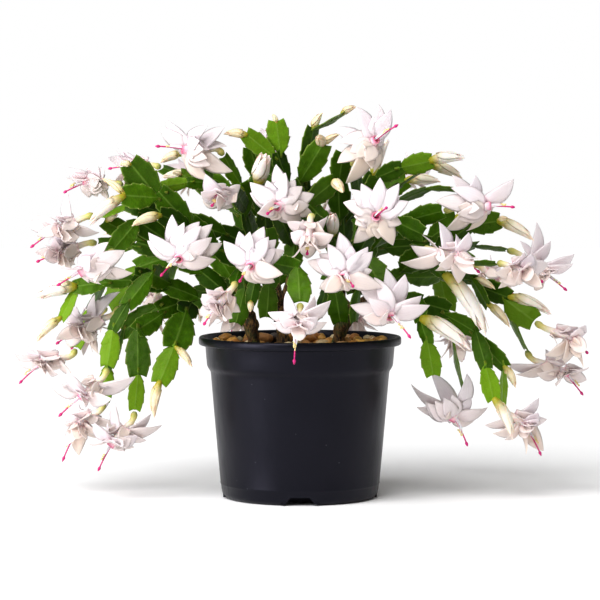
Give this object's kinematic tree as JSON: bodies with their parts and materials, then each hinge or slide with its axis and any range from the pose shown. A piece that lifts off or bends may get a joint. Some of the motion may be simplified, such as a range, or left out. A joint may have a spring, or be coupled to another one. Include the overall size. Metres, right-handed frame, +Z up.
{
  "type": "potted christmas cactus",
  "caption": "Christmas cactus in full white bloom: arching flat toothed segments and layered flowers over a black nursery pot with a gravel top dressing.",
  "frame": {"origin": "middle of the pot's foot, on the face it stands on", "axes": "+Z up, +X along the plant's widest spread, +Y from the viewer's side to the far side"},
  "size_m": [0.4898, 0.2922, 0.3276],
  "materials": {
    "pot": "satin moulded polypropylene",
    "soil": "damp fibrous potting mix",
    "gravel": "water-worn pebbles",
    "wood": "corky bark",
    "leaf": "waxy satin",
    "petal": "thin and translucent"
  },
  "bodies": {
    "root": {"pot": "pot", "soil": "soil", "gravel": "gravel", "woody_stem_1": "wood", "woody_stem_2": "wood", "woody_stem_3": "wood", "woody_stem_4": "wood", "leafy_stem_01": "leaf", "leafy_stem_02": "leaf", "leafy_stem_03": "leaf", "leafy_stem_04": "leaf", "leafy_stem_05": "leaf", "leafy_stem_06": "leaf", "leafy_stem_07": "leaf", "leafy_stem_08": "leaf", "leafy_stem_09": "leaf", "leafy_stem_10": "leaf", "leafy_stem_11": "leaf", "leafy_stem_12": "leaf", "leafy_stem_13": "leaf", "bloom_01": "petal", "bloom_02": "petal", "bloom_03": "petal", "bloom_04": "petal", "bloom_05": "petal", "bloom_06": "petal", "bloom_07": "petal", "bloom_08": "petal", "bloom_09": "petal", "bloom_10": "petal", "bloom_11": "petal", "bloom_12": "petal", "bloom_13": "petal", "bloom_14": "petal", "bloom_15": "petal", "bloom_16": "petal", "bloom_17": "petal", "bloom_18": "petal", "bloom_19": "petal", "bloom_20": "petal", "bloom_21": "petal", "bloom_22": "petal", "bloom_23": "petal", "bloom_24": "petal", "bloom_25": "petal", "bloom_26": "petal", "bloom_27": "petal", "bloom_28": "petal", "bloom_29": "petal", "bloom_30": "petal", "bloom_31": "petal", "bloom_32": "petal", "bloom_33": "petal", "bloom_34": "petal", "bloom_35": "petal", "bloom_36": "petal", "bloom_37": "petal", "bloom_38": "petal", "bloom_39": "petal", "bloom_40": "petal"}
  },
  "joints": []
}
